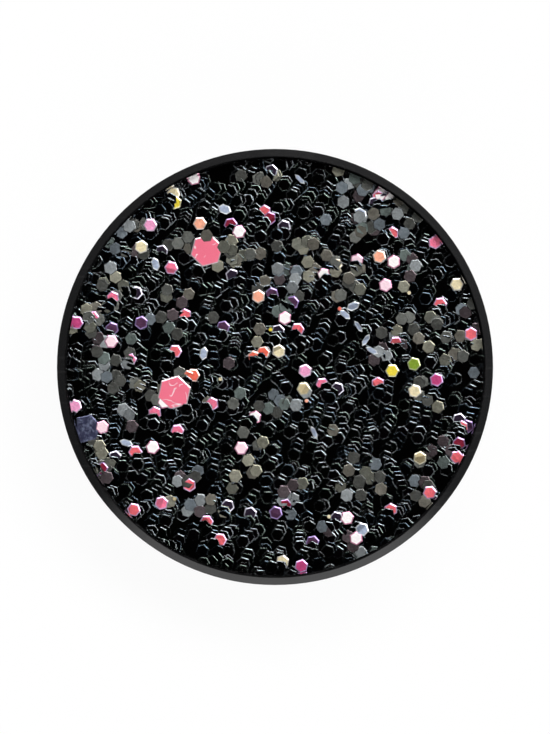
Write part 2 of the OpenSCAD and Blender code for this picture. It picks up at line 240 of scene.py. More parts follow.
def moulded_grain():
    """The fine spark texture that a mould leaves on plastic, and slower patches of tone."""
    tree, given, out = effect("moulded_grain", ("Height", "Patches"), Grain_per_mm=9.0)
    per_metre = times(tree, given["Grain per mm"], 1000)
    fine = noise(tree, given["Vector"], per_metre, 3, 0.62)
    pits = cells(tree, given["Vector"], times(tree, per_metre, 0.6), feature="SMOOTH_F1")["Distance"]
    fill(tree, out["Height"], plus(tree, times(tree, fine, 0.6), times(tree, pits, 0.4)))
    fill(tree, out["Patches"], noise(tree, given["Vector"], 140, 3, 0.55))
    return tree


def edge_wear():
    """Where a moulded edge has been rubbed: a mask along sharp edges, broken up by noise."""
    tree, given, out = effect("edge_wear", ("Mask",), Width=0.15, Amount=0.5)
    soft = new(tree, "ShaderNodeBevel", {"Radius": times(tree, given["Width"], MM)}, samples=6)
    flat = add(tree, "ShaderNodeNewGeometry").outputs["Normal"]
    turned = minus(tree, 1.0, vector_math(tree, "DOT_PRODUCT", soft, flat))
    edge = remap(tree, turned, 0.02, 0.2, smooth=True)
    broken = remap(tree, noise(tree, given["Vector"], 900, 4, 0.6), 0.42, 0.62)
    fill(tree, out["Mask"], math(tree, "MULTIPLY", times(tree, edge, broken), given["Amount"], clamp=True))
    return tree


def handling_marks():
    """Hair scratches in three directions and soft smudges, from use in the hand."""
    tree, given, out = effect("handling_marks", ("Scratch", "Smudge"), Scratches=0.5)
    marks = []
    for turn, stretch in ((0.4, 26.0), (1.9, 19.0), (2.7, 31.0)):
        turned = new(tree, "ShaderNodeMapping", {"Vector": given["Vector"], "Rotation": (0, 0, turn),
                                                 "Scale": (60, 60 * stretch, 60)})
        marks.append(remap(tree, noise(tree, turned, 1.0, 1.0, 0.4), 0.705, 0.76))
    fill(tree, out["Scratch"], times(tree, chain(tree, "MAXIMUM", *marks), given["Scratches"]))
    fill(tree, out["Smudge"], remap(tree, noise(tree, given["Vector"], 95, 3, 0.6, 0.6), 0.45, 0.75))
    return tree


def powder_dust():
    """Loose powder specks that settle round the pans."""
    tree, given, out = effect("powder_dust", ("Mask",), Amount=0.4)
    specks = cells(tree, given["Vector"], 3200.0)
    speck = remap(tree, specks["Distance"], 0.16, 0.3, 1.0, 0.0)
    some = remap(tree, noise(tree, given["Vector"], 260, 3, 0.65), 0.5, 0.8)
    rare = math(tree, "GREATER_THAN", split_colour(tree, specks["Color"])[0], 0.62)
    fill(tree, out["Mask"], math(tree, "MULTIPLY", times(tree, speck, rare),
                                 times(tree, some, given["Amount"]), clamp=True))
    return tree


GRAIN, WEAR, MARKS, DUST = moulded_grain(), edge_wear(), handling_marks(), powder_dust()

# The ring and the cloth print pressed into each cake, in millimetres.
PRESS_RING_R, CLOTH_PITCH = 5.9, 0.85


# ---------------------------------------------------------------- finishes

def black_plastic(name, colour, rough, grain_depth, wear, scratches, grain_per_mm=9.0, dust=0.0):
    """Black ABS: its grain, rubbed edges, hair scratches and, near the pans, powder."""
    made, tree, shader, where = material(name)
    grain = place(tree, GRAIN, Vector=where, Grain_per_mm=grain_per_mm)
    worn = place(tree, WEAR, Vector=where, Amount=wear)["Mask"]
    marks = place(tree, MARKS, Vector=where, Scratches=scratches)
    base = mix_colour(tree, grain["Patches"], colour, toned(colour, 1.35))
    base = mix_colour(tree, worn, base, grey(0.045))
    base = mix_colour(tree, times(tree, marks["Scratch"], 0.5), base, grey(0.03))
    roughness = plus(tree, rough, times(tree, marks["Smudge"], 0.07), times(tree, marks["Scratch"], 0.15))
    if dust:
        specks = place(tree, DUST, Vector=where, Amount=dust)["Mask"]
        base = mix_colour(tree, specks, base, srgb("a8897c"))
        roughness = mix_value(tree, specks, roughness, 0.9)
    fill_named(tree, shader, {"Base Color": base, "Roughness": math(tree, "MINIMUM", roughness, 1.0),
                              "Normal": bump(tree, grain["Height"], grain_depth * MM)})
    return made


def spun_metal(name, colour, rough, middle):
    """The pans' thin aluminium, with the fine rings that the tool leaves."""
    made, tree, shader, where = material(name)
    at = split(tree, centred(tree, where, middle))
    rings = noise(tree, combine(tree, from_axis(tree, at), at[2]), 14000, 2, 0.6)
    marks = place(tree, MARKS, Vector=where, Scratches=0.6)
    base = mix_colour(tree, remap(tree, rings, 0.3, 0.7), colour, toned(colour, 0.72))
    fill_named(tree, shader, {"Base Color": mix_colour(tree, marks["Smudge"], base, toned(colour, 0.8)),
                              "Roughness": plus(tree, rough, times(tree, rings, 0.16)), "Metallic": 1.0,
                              "Normal": bump(tree, plus(tree, rings, marks["Scratch"]), 0.012 * MM)})
    return made


def pressed_powder(name, colour, fleck, shimmer, middle):
    """Pressed eyeshadow: chalky grain, colour drift, mica platelets and the print of the press cloth."""
    made, tree, shader, where = material(name)
    own = centred(tree, where, middle)
    chalk = noise(tree, own, 5200, 4, 0.65)
    drift = noise(tree, own, 420, 3, 0.6)
    base = mix_colour(tree, remap(tree, chalk, 0.3, 0.7), toned(colour, 0.8), toned(colour, 1.12))
    base = mix_colour(tree, remap(tree, drift, 0.35, 0.75, 0.0, 0.35), base, toned(colour, 0.78))
    pick = split_colour(tree, cells(tree, own, 9000.0)["Color"])
    mica = times(tree, math(tree, "LESS_THAN", pick[0], shimmer), pick[1])
    base = mix_colour(tree, mica, base, fleck)
    at = split(tree, own)
    radius = vector_math(tree, "LENGTH", combine(tree, at[0], at[1]))
    off = math(tree, "ABSOLUTE", minus(tree, radius, PRESS_RING_R * MM))
    press_groove_and_shade = remap(tree, off, 0.08 * MM, 0.26 * MM, 1.0, 0.0, smooth=True)
    per_turn = 2 * pi / (CLOTH_PITCH * MM)
    threads = [math(tree, "SINE", times(tree, math(tree, way, at[0], at[1]), per_turn))
               for way in ("ADD", "SUBTRACT")]
    inside = remap(tree, radius, (PRESS_RING_R - 0.5) * MM, (PRESS_RING_R - 0.3) * MM, 1.0, 0.0)
    cloth = times(tree, *threads, inside)
    height = plus(tree, times(tree, chalk, 0.7), times(tree, drift, 0.6))
    height = minus(tree, height, times(tree, press_groove_and_shade, 1.8))
    height = plus(tree, height, times(tree, cloth, 0.8))
    # Painted shade: the pressed groove is painted darker as well as pressed in, as if shade lay in it.
    base = mix_colour(tree, times(tree, press_groove_and_shade, 0.6), base, toned(colour, 0.62))
    fill_named(tree, shader, {"Base Color": base, "Metallic": times(tree, mica, 0.8),
                              "Roughness": mix_value(tree, mica, 0.86, 0.32),
                              "Normal": bump(tree, height, 0.05 * MM)})
    return made


def silvered_glass():
    """The mirror: silver behind glass, with a faint haze of fingerprints and dust."""
    made, tree, shader, where = material("silvered_glass")
    marks = place(tree, MARKS, Vector=where, Scratches=0.25)
    dust = place(tree, DUST, Vector=where, Amount=0.35)["Mask"]
    base = mix_colour(tree, marks["Smudge"], (0.86, 0.88, 0.87, 1), (0.80, 0.82, 0.81, 1))
    rough = plus(tree, 0.015, times(tree, marks["Smudge"], 0.05), times(tree, marks["Scratch"], 0.1),
                 times(tree, dust, 0.3))
    fill_named(tree, shader, {"Base Color": mix_colour(tree, dust, base, grey(0.6)), "Metallic": 1.0,
                              "Roughness": rough, "Normal": bump(tree, marks["Scratch"], 0.002 * MM)})
    return made


def foam():
    """Closed-cell foam tape behind the mirror."""
    made, tree, shader, where = material("foam_tape")
    bubbles = cells(tree, where, 5200.0)["Distance"]
    fill_named(tree, shader, {"Base Color": mix_colour(tree, bubbles, grey(0.5), grey(0.78)),
                              "Roughness": 0.95, "Normal": bump(tree, bubbles, 0.08 * MM)})
    return made


def drawn_steel():
    """Steel wire and pin stock, drawn along its length, with a little oil tint."""
    made, tree, shader, where = material("drawn_steel")
    along = new(tree, "ShaderNodeMapping", {"Vector": where, "Scale": (1, 14, 14)})
    streaks = noise(tree, along, 1400, 3, 0.6)
    stain = remap(tree, noise(tree, where, 600, 3, 0.6), 0.55, 0.8, 0, 0.6)
    base = mix_colour(tree, streaks, (0.42, 0.42, 0.43, 1), (0.62, 0.61, 0.6, 1))
    fill_named(tree, shader, {"Base Color": mix_colour(tree, stain, base, (0.30, 0.26, 0.21, 1)),
                              "Metallic": 1.0, "Roughness": plus(tree, 0.2, times(tree, streaks, 0.18)),
                              "Normal": bump(tree, streaks, 0.006 * MM)})
    return made


def clear_acrylic():
    """The flush clear cover. Lamps pass straight through it; only the eye sees its surface."""
    made, tree, shader, where = material("clear_acrylic")
    marks = place(tree, MARKS, Vector=where, Scratches=0.5)
    fill_named(tree, shader, {"Base Color": grey(1), "Transmission Weight": 1.0, "IOR": 1.49,
                              "Roughness": times(tree, marks["Smudge"], 0.03),
                              "Normal": bump(tree, marks["Scratch"], 0.001 * MM)})
    seen = add(tree, "ShaderNodeLightPath").outputs["Is Camera Ray"]
    through = new(tree, "ShaderNodeBsdfTransparent")
    body = shader["Base Color"].node.outputs[0]
    both = new(tree, "ShaderNodeMixShader", {0: seen, 1: through, 2: body})
    end = next(n for n in tree.nodes if n.type == "OUTPUT_MATERIAL")
    tree.links.new(both, end.inputs[0])
    return made


# ---------------------------------------------------------------- the glitter bed

# Heights and radius of the bed, in millimetres.
DISC_R, BED_LOW, BED_FLOOR, BED_HIGH = 27.70, 12.0, 12.1, 12.78

# Each film colour: name, the colour of its face and the colour of its cut edge.
# The greys, grey_warm to grey_blue, are painted reflection: black film given grey faces, as if it lay flat
# enough to mirror the light.
FILMS = [("black", "010101", "54585a"), ("black_green", "010101", "4a524f"),
         ("black_blue", "010102", "48525a"), ("black_pale", "020102", "6e7478"),
         ("grey_warm", "6d6a62", "54534e"), ("grey_olive", "6f7067", "585950"),
         ("beige", "8b8a7c", "706e62"), ("grey", "696b67", "50514e"), ("grey_dark", "4e4f4c", "424341"),
         ("grey_plum", "4d4548", "484144"), ("grey_light", "878c8e", "66696b"),
         ("grey_green", "626c69", "4b5150"), ("grey_blue", "6b7379", "50565b"),
         ("ice", "a8b4ca", "f4f8fc"), ("rimmed", "2c2432", "e8e4f6"), ("coral", "f26e78", "ecc2ec"),
         ("pink", "f87c9c", "f0c4f0"), ("pale_pink", "f8a6d0", "f8dcf6"), ("magenta", "c44a80", "dcb4ea"),
         ("dark_red", "8a283c", "c49ed4"), ("purple", "52354f", "a890c8"), ("peach", "ffb294", "fae8de"),
         ("orange", "f8705c", "f8d4c8"), ("cream", "eee0b8", "f8f2e4"), ("white", "fffafa", "f0a8c6"),
         ("blush", "ffe0ea", "f4b0d0"), ("gold", "c8b890", "e0dac0"), ("yellow", "f2dc4a", "f4f0c0"),
         ("lime", "7f9a34", "c8d0a0"), ("indigo", "34364c", "5c6078"),
         ("creased_pink", "f47890", "f6dce4"), ("backing", "010101", "010101")]
FILM = {name: number for number, (name, _, _) in enumerate(FILMS)}
# How many variants each film has, and how many squares the map has in a row.
VARIANTS, ACROSS = 8, 16

# The flakes that stand out, in millimetres from the middle of the lid: those that lie whole on top,
# and those whose lower part is under their neighbours.
WHOLE = {
    "pale_pink": [(-16.6, 18.9), (4.0, -0.5), (-26.6, -5.2)],
    "peach": [(-10.0, 19.1), (-2.2, 9.4), (13.9, 14.7)],
    "white": [(-4.8, 18.0), (1.3, 6.5), (-16.3, -10.7), (9.6, -20.1), (15.8, 14.0), (14.0, 23.0),
              (-10.8, 25.1), (10.8, -22.8)],
    "blush": [(-21.8, 3.4), (-23.0, -8.0), (14.7, 10.9), (-4.5, -10.8)],
    "cream": [(-17.8, 16.0), (18.6, -3.2), (24.2, 11.0), (0.5, 2.1)],
    "lime": [(18.5, 0.4)],
    "coral": [(20.6, -16.7), (26.1, 4.4), (-18.8, -19.0), (24.2, -12.0), (-11.4, -15.7)],
    "pink": [(-13.8, 13.2), (-15.1, -18.1), (21.3, 16.6)],
    "magenta": [(-26.4, 5.9), (3.5, -26.5), (21.5, -1.7)],
    "yellow": [(15.6, -0.5)],
    "purple": [(-17.8, 5.9), (0.1, -19.4)],
    "gold": [(3.8, -2.9), (19.3, -12.1)],
    "ice": [(11.6, -21.6)],
}
SUNK = {
    "coral": [(-13.3, 2.1), (15.6, 17.8), (-7.3, -23.0), (13.7, -2.2), (-9.1, -20.6), (-1.4, 20.7),
              (-18.6, -11.3), (15.4, -19.0), (22.0, 8.4), (-12.0, 6.9), (3.0, 5.0), (13.8, 22.6),
              (16.1, 3.2), (24.9, -8.0)],
    "pink": [(-13.0, -8.5), (-8.4, -4.9), (6.3, -2.3), (-16.0, -6.1), (-24.3, 6.6), (-21.6, 9.2),
             (-19.3, 1.0)],
    "orange": [(-2.8, 1.3), (-1.6, 1.9), (-11.6, -1.3)],
    "dark_red": [(-5.9, 19.0), (-0.7, 19.8), (-23.1, -13.5), (24.5, -10.2), (1.4, -18.4)],
    "purple": [(-21.7, 5.1), (2.3, 8.6), (25.6, -7.9), (5.0, -23.3), (-0.4, 9.7), (-6.9, 5.3)],
    "rimmed": [(1.2, 18.7), (-15.1, 15.4), (-5.7, 12.2), (0.4, 4.8), (8.3, -2.9), (24.5, -7.0),
               (-6.3, -18.5), (-3.3, -19.5), (14.6, 22.4), (13.3, 21.8), (-18.5, 9.9), (-0.5, 26.1),
               (8.2, -20.1), (-21.3, -12.0)],
    "cream": [(8.1, 13.7), (1.0, -25.9), (-13.5, 23.1)],
    "yellow": [(-13.3, 21.9)],
    "white": [(6.5, 12.3), (-2.7, -6.7), (15.4, 22.4)],
    "blush": [(10.9, 14.2)],
}
# Flakes that stand nearly on edge: place, width against height, and the way their length runs in degrees.
ON_EDGE = [(-6.7, 21.0, 0.7, 160), (-15.9, 13.7, 0.6, 105), (10.4, 8.1, 0.62, 25), (11.4, 20.5, 0.7, 150),
           (3.3, 25.0, 0.32, 135), (5.2, -8.7, 0.36, 116), (12.1, 3.6, 0.4, 57), (-19.8, -10.1, 0.5, 164),
           (-9.5, 1.8, 0.6, 80), (9.3, 7.0, 0.45, 140), (11.1, 5.4, 0.35, 125), (12.9, 2.2, 0.4, 150)]
# Film, place, level and width of the large flakes, of those that lie over or under them, and of the greys,
# painted reflection, that lie over the black ones in the upper right drift.
OVERLAPS = [("creased_pink", -13.4, -3.4, 12.66, 2.5), ("creased_pink", -9.1, 15.5, 12.66, 2.4),
            ("indigo", -25.1, -8.2, 12.56, 2.1), ("white", -14.75, -4.65, 12.62, 1.0),
            ("grey_warm", -9.1, 17.5, 12.73, 1.0), ("grey_olive", -6.8, 16.0, 12.73, 1.0),
            ("grey", -11.6, 17.3, 12.7, 1.0), ("orange", -10.9, -1.1, 12.6, 1.0),
            ("black", -10.2, 12.7, 12.74, 1.0), ("black", -11.8, -5.7, 12.74, 1.0),
            ("black_blue", -13.9, -6.3, 12.74, 1.0), ("grey_light", 16.3, 20.4, 12.66, 1.0),
            ("grey_green", 14.7, 20.9, 12.62, 1.0), ("grey_warm", 13.1, 20.4, 12.64, 1.0),
            ("grey_light", 11.2, 20.0, 12.66, 1.0), ("grey_green", 11.6, 18.5, 12.62, 1.0),
            ("grey_blue", 13.9, 19.0, 12.66, 1.0), ("grey_dark", 12.7, 18.6, 12.6, 1.0),
            ("grey_light", 9.1, 22.0, 12.64, 1.0), ("grey_blue", 8.9, 23.9, 12.66, 1.0),
            ("grey_green", 10.6, 25.1, 12.62, 1.0), ("grey", 12.3, 24.3, 12.66, 1.0)]
# Where the grey flakes lie in drifts: painted reflection, black film given grey faces as if it mirrored the
# light.
DRIFTS = [(12.0, 19.0), (15.2, 20.6), (9.6, 22.4), (9.8, 25.4), (27.2, -1.8), (26.4, 6.6), (9.8, 10.8),
          (18.4, 5.4), (-20.5, 15.6), (11.8, -24.8), (-11.5, 16.5), (-6.5, 15.5), (-1.5, 14.5),
          (3.5, 12.5), (0.5, 10.2), (18.0, 12.5), (-21.5, 11.5), (-14.0, 6.0), (-22.5, 7.0), (-25.0, 4.4),
          (-19.0, 17.5), (16.5, 4.2), (14.2, 3.4), (19.5, -2.2), (-16.8, -2.2), (-21.5, 0.6),
          (-1.0, -4.0), (3.0, -4.4), (-19.2, -7.3), (-24.5, -12.4), (-10.6, -17.4), (-4.5, -14.2),
          (1.0, -16.4), (11.5, -14.5), (20.8, -10.6), (19.2, -16.5), (-3.6, 25.2), (13.0, 23.6),
          (24.6, 2.4)]

# What is drawn for each stack, for the black ones and for the greys: how many flakes, which way they have
# slid, how far each leans in degrees, how far apart they lie, how high and how they are turned.
DARK_STACK = {"count": (2, 5.3), "toward": (-0.4, 0.4), "pace": (0.7, 1.5), "level": (12.37, 12.43),
              "spin": (0, pi / 3)}
SHEEN_GREY_STACK = {"count": (1, 3.5), "toward": (0, 2 * pi), "lean": (0.5, 3.0), "pace": (1.0, 2.6),
              "level": (12.49, 12.61), "spin": (0, pi / 3)}
# The greys' share close to the middle of a drift and outside it, and how far off each is reached.
DRIFT_SHARE, DRIFT_REACH = (0.84, 0.04), (1.6, 3.2)
# Each draw's own number, so that no two are alike.
SEEDS = {"dark_place": 0, "missed": 1, "dark_count": 2, "grey_count": 3, "dark_toward": 4, "grey_toward": 5,
         "grey_lean": 6, "dark_level": 7, "grey_level": 8, "dark_spin": 9, "grey_spin": 10, "step": 11,
         "grey_pace": 12, "aside_x": 13, "aside_y": 14, "sheen_grey_film": 15, "dark_film": 16, "odd": 17,
         "odd_film": 18, "variant": 19, "width": 20, "spin": 21, "toward": 22, "lean": 23, "dark_pace": 24,
         "grey_place": 30, "whole_lean": 40, "sunk_lean": 41, "cover_back": 42, "cover_toward": 43,
         "cover_spin": 44, "cover_film": 45}
# Taken off the top of a draw that is rounded down, so that it never reaches the next number.
SHY = 0.001
# Levels of the chosen flakes, how far one lies above the last and how much further it is turned.
WHOLE_LEVEL, SUNK_LEVEL, EDGE_LEVEL, LEVEL_STEP = 12.60, 12.46, 12.62, 0.02
WHOLE_TURN, SUNK_TURN = 0.37, 0.53
# The level and size of an odd coloured speck, and how many ordinary widths a large flake has.
SPECK_LEVEL, SPECK_SIZE, LARGE_TIMES = 12.66, 0.3, 2.56
# Half of a flake on its square of the map, as a share of the square.
MAP_HALF = 0.44


def named(sockets, name):
    """The socket of that name that is in use, where a node has one for each kind of value."""
    return next(s for s in sockets if s.name == name and s.enabled)


def store(tree, geometry, name, value, kind="FLOAT", domain="POINT"):
    made = add(tree, "GeometryNodeStoreNamedAttribute", {"Geometry": geometry, "Name": name},
               data_type=kind, domain=domain)
    fill(tree, named(made.inputs, "Value"), value)
    return made.outputs[0]


def stored(tree, name, kind="FLOAT"):
    made = add(tree, "GeometryNodeInputNamedAttribute", {"Name": name}, data_type=kind)
    return named(made.outputs, "Attribute")


def chance(tree, low, high, seed):
    """A random number for each point."""
    made = add(tree, "FunctionNodeRandomValue", {"Seed": seed}, data_type="FLOAT")
    fill(tree, named(made.inputs, "Min"), low)
    fill(tree, named(made.inputs, "Max"), high)
    return named(made.outputs, "Value")


def switch(tree, condition, no, yes):
    made = add(tree, "GeometryNodeSwitch", {0: condition}, input_type="FLOAT")
    fill(tree, named(made.inputs, "False"), no)
    fill(tree, named(made.inputs, "True"), yes)
    return made.outputs[0]


def join(tree, *parts):
    made = tree.nodes.new("GeometryNodeJoinGeometry")
    for part in parts:
        tree.links.new(part, made.inputs[0])
    return made.outputs[0]


def drop(tree, points, unwanted):
    """The points without the unwanted ones."""
    return new(tree, "GeometryNodeDeleteGeometry", {0: points, 1: unwanted}, domain="POINT")


def shift(tree, points, offset):
    return new(tree, "GeometryNodeSetPosition", {"Geometry": points, "Offset": offset})


def polar(tree, length, angle):
    """A step of a given length in a given direction."""
    return combine(tree, times(tree, length, math(tree, "COSINE", angle)),
                   times(tree, length, math(tree, "SINE", angle)))


def flake(tree, width, bevel, slope):
    """One hexagonal flake: a flat film with a cut edge that slopes, all closed."""
    half = times(tree, width, 1 / sqrt(3))
    top = minus(tree, half, times(tree, bevel, 2 / sqrt(3)))
    cone = add(tree, "GeometryNodeMeshCone", {"Vertices": 6, "Radius Top": top, "Radius Bottom": half,
                                              "Depth": times(tree, bevel, slope)}, fill_type="NGON")
    shape = store(tree, cone.outputs["Mesh"], "cut_edge", cone.outputs["Side"], domain="FACE")
    spot = vector_math(tree, "SCALE", new(tree, "GeometryNodeInputPosition"),
                       scale=math(tree, "DIVIDE", 1.0, half))
    return store(tree, shape, "spot", spot, kind="FLOAT_VECTOR")


def flake_stacks(tree, given, position, lie, middles):
    """Points for the scattered flakes, in stacks that have slid over like fallen coins."""
    def draw(name, low, high):
        return chance(tree, low, high, plus(tree, given["Seed"], SEEDS[name]))

    sheet = new(tree, "GeometryNodeMeshCircle", {
        "Vertices": 96, "Radius": plus(tree, given["Disc radius"], 0.6)}, fill_type="NGON")
    dark_ones, sheen_grey_ones = [new(tree, "GeometryNodeDistributePointsOnFaces", {
        "Mesh": sheet, "Distance Min": given[gap], "Density Max": given["Per square mm"],
        "Seed": plus(tree, given["Seed"], SEEDS[name])}, distribute_method="POISSON")
        for name, gap in (("dark_place", "Dark gap"), ("grey_place", "Grey gap"))]
    # Greys lie in drifts, nearly flat and on top of the black ones; their grey faces are painted reflection.
    near = add(tree, "GeometryNodeProximity", {0: middles}, target_element="POINTS").outputs["Distance"]
    near = plus(tree, near, remap(tree, noise(tree, position, 0.35, 2.0, 0.6), 0.3, 0.7, -1.0, 1.0))
    missed = math(tree, "GREATER_THAN", draw("missed", 0, 1),
                  remap(tree, near, *DRIFT_REACH, *DRIFT_SHARE, smooth=True))
    sheen_grey_ones = drop(tree, sheen_grey_ones, missed)
    stacks = join(tree, store(tree, dark_ones, "grey", 0.0), store(tree, sheen_grey_ones, "grey", 1.0))
    is_sheen_grey = stored(tree, "grey")
    calm = remap(tree, noise(tree, position, 0.24, 1.0, 0.5), 0.38, 0.54, 0.42, 1.05)
    dark = {name: draw("dark_" + name, *span) for name, span in DARK_STACK.items()}
    pale = {name: draw("grey_" + name, *span) for name, span in SHEEN_GREY_STACK.items()}
    for kind in (dark, pale):
        kind["count"] = math(tree, "FLOOR", kind["count"])
    dark["toward"] = plus(tree, lie, dark["toward"])
    dark["lean"] = times(tree, given["Lean"], calm)
    for name in ("count", "toward", "lean", "pace", "level", "spin"):
        stacks = store(tree, stacks, name, switch(tree, is_sheen_grey, dark[name], pale[name]))
    # Each stack is spread out from its own middle, every flake a step on from the last and a little aside.
    many = add(tree, "GeometryNodeDuplicateElements", {"Geometry": stacks, "Amount": stored(tree, "count")},
               domain="POINT")
    number = many.outputs["Duplicate Index"]
    along = minus(tree, number, times(tree, minus(tree, stored(tree, "count"), 1.0), 0.5))
    pace = times(tree, given["Step"], times(tree, stored(tree, "pace"), draw("step", 0.9, 1.1)))
    slide = polar(tree, times(tree, along, pace), stored(tree, "toward"))
    stray = switch(tree, is_sheen_grey, 0.11, 0.45)
    aside = [times(tree, stray, draw(name, -1, 1)) for name in ("aside_x", "aside_y")]
    slid = shift(tree, many.outputs[0], vector_math(tree, "ADD", slide, combine(tree, *aside)))
    outside = math(tree, "GREATER_THAN", vector_math(tree, "LENGTH", position),
                   plus(tree, given["Disc radius"], 0.45))
    slid = drop(tree, slid, outside)
    # Which film each one is given: a drift of greys, painted reflection, is warm or cool, and the odd speck
    # is coloured.
    cool = math(tree, "GREATER_THAN", noise(tree, position, 0.11, 1.0, 0.5), 0.5)
    first = FILM["grey_warm"]
    sheen_grey_film = plus(tree, draw("sheen_grey_film", first, first + 5 - SHY), times(tree, cool, 4.0))
    film = math(tree, "FLOOR", switch(tree, is_sheen_grey, draw("dark_film", 0, first - SHY), sheen_grey_film))
    odd = math(tree, "LESS_THAN", draw("odd", 0, 1), 0.004)
    odd_film = math(tree, "FLOOR", draw("odd_film", FILM["peach"], FILM["lime"] - SHY))
    level = plus(tree, stored(tree, "level"), times(tree, number, is_sheen_grey, 0.035))
    for name, value in (
            ("film", switch(tree, odd, film, odd_film)),
            ("variant", math(tree, "FLOOR", draw("variant", 0, VARIANTS - SHY))),
            ("level", switch(tree, odd, level, SPECK_LEVEL)),
            ("width", switch(tree, odd, draw("width", 0.95, 1.04), SPECK_SIZE)),
            ("squeeze", 1.0),
            ("bright", 0.0),
            ("grey", math(tree, "MAXIMUM", is_sheen_grey, odd)),
            ("spin", plus(tree, stored(tree, "spin"), draw("spin", -0.07, 0.07))),
            ("toward", plus(tree, stored(tree, "toward"), draw("toward", -0.28, 0.28))),
            ("lean", times(tree, stored(tree, "lean"), draw("lean", 0.65, 1.3)))):
        slid = store(tree, slid, name, value)
    return slid


def with_overlaps(tree, chosen, lie):
    """The chosen flakes, with two black ones over the lower part of each that is sunk."""
    whole_lean = math(tree, "DIVIDE", chance(tree, 0.2, 1.8, SEEDS["whole_lean"]), stored(tree, "width"))
    sunk_lean = chance(tree, 8.0, 12.0, SEEDS["sunk_lean"])
    for name, value in (("toward", lie), ("grey", 0.0),
                        ("lean", switch(tree, stored(tree, "sunk"), whole_lean, sunk_lean))):
        chosen = store(tree, chosen, name, value)
    lone = drop(tree, chosen, math(tree, "LESS_THAN", stored(tree, "sunk"), 0.5))
    pair = add(tree, "GeometryNodeDuplicateElements", {"Geometry": lone, "Amount": 2}, domain="POINT")
    back = math(tree, "MULTIPLY_ADD", pair.outputs["Duplicate Index"], -0.6,
                chance(tree, -1.1, -0.7, SEEDS["cover_back"]))
    toward = plus(tree, stored(tree, "toward"), chance(tree, -0.5, 0.5, SEEDS["cover_toward"]))
    cover = shift(tree, pair.outputs[0], polar(tree, back, toward))
    film = math(tree, "FLOOR", chance(tree, 0, FILM["grey_warm"] - SHY, SEEDS["cover_film"]))
    for name, value in (("bright", 0.0), ("sunk", 0.0),
                        ("spin", chance(tree, 0, pi / 3, SEEDS["cover_spin"])),
                        ("level", plus(tree, stored(tree, "level"), 0.03)), ("film", film)):
        cover = store(tree, cover, name, value)
    return join(tree, chosen, cover)


def flakes_on(tree, given, points):
    """A real flake on each point, cut as its film is and tilted by its lean."""
    toward, width = stored(tree, "toward"), stored(tree, "width")
    # The normal leans away from the raised edge, about the axis that lies across that way.
    across_way = combine(tree, math(tree, "SINE", toward), times(tree, math(tree, "COSINE", toward), -1.0))
    spin, tip = [new(tree, "FunctionNodeAxisAngleToRotation", {"Axis": axis, "Angle": angle})
                 for axis, angle in (((0, 0, 1), stored(tree, "spin")),
                                     (across_way, math(tree, "RADIANS", stored(tree, "lean"))))]
    turned = new(tree, "FunctionNodeRotateRotation", {"Rotation": spin, "Rotate By": tip},
                 rotation_space="GLOBAL")
    bright = stored(tree, "bright")
    large = math(tree, "GREATER_THAN", width, 1.5)
    flat = math(tree, "MAXIMUM", stored(tree, "grey"), minus(tree, bright, stored(tree, "sunk")))
    dark, leaning, small = [minus(tree, 1.0, mask) for mask in (bright, flat, large)]
    layers = []
    for across, edge, slope, which, size in (
            ("Flake width", "Cut edge", "Leaning slope", times(tree, dark, leaning), width),
            ("Flake width", "Cut edge", "Flat slope", times(tree, dark, flat), width),
            ("Flake width", "Bright edge", "Leaning slope", times(tree, bright, leaning), width),
            ("Flake width", "Bright edge", "Flat slope", times(tree, bright, flat, small), width),
            ("Large width", "Bright edge", "Flat slope", large, math(tree, "DIVIDE", width, LARGE_TIMES))):
        layers.append(new(tree, "GeometryNodeInstanceOnPoints", {
            "Points": points, "Selection": which, "Rotation": turned,
            "Instance": flake(tree, given[across], given[edge], given[slope]),
            "Scale": combine(tree, size, times(tree, size, stored(tree, "squeeze")), 1.0)}))
    return new(tree, "GeometryNodeRealizeInstances", {0: join(tree, *layers)})


def trimmed_round(tree, given, position, shape):
    """The flakes, with what reaches past the disc or through the cover brought in to it."""
    at = split(tree, position)
    inward = math(tree, "MINIMUM", 1.0, math(tree, "DIVIDE", given["Disc radius"], from_axis(tree, at)))
    inside = combine(tree, times(tree, at[0], inward), times(tree, at[1], inward),
                     math(tree, "MINIMUM", at[2], BED_HIGH))
    return new(tree, "GeometryNodeSetPosition", {"Geometry": shape, "Position": inside})


def dark_sheet(tree, given, position):
    """The dark sheet that the flakes are bonded to."""
    sheet = new(tree, "GeometryNodeMeshCylinder", {
        "Vertices": 128, "Radius": given["Disc radius"], "Depth": BED_FLOOR - BED_LOW},
        fill_type="NGON")
    sheet = store(tree, sheet, "spot", vector_math(tree, "SCALE", position, scale=1 / DISC_R),
                  kind="FLOAT_VECTOR")
    sheet = store(tree, sheet, "film", float(FILM["backing"]))
    sheet = store(tree, sheet, "cut_edge", 0.0, domain="FACE")
    return new(tree, "GeometryNodeTransform", {"Geometry": store(tree, sheet, "variant", 0.0),
                                               "Translation": (0, 0, (BED_LOW + BED_FLOOR) / 2)})


def mapped(tree, shape):
    """A map with one square for each film and variant, so that alike flakes share their place on it."""
    cell = plus(tree, times(tree, stored(tree, "film"), float(VARIANTS)), stored(tree, "variant"), 0.01)
    column = math(tree, "FLOOR", math(tree, "MODULO", cell, float(ACROSS)))
    row = math(tree, "FLOOR", math(tree, "DIVIDE", cell, float(ACROSS)))
    spot = split(tree, stored(tree, "spot", "FLOAT_VECTOR"))
    places = [math(tree, "DIVIDE", plus(tree, number, 0.5, times(tree, side, MAP_HALF)), float(ACROSS))
              for number, side in ((column, spot[0]), (row, spot[1]))]
    return store(tree, shape, "OFBake", combine(tree, *places), kind="FLOAT2", domain="CORNER")


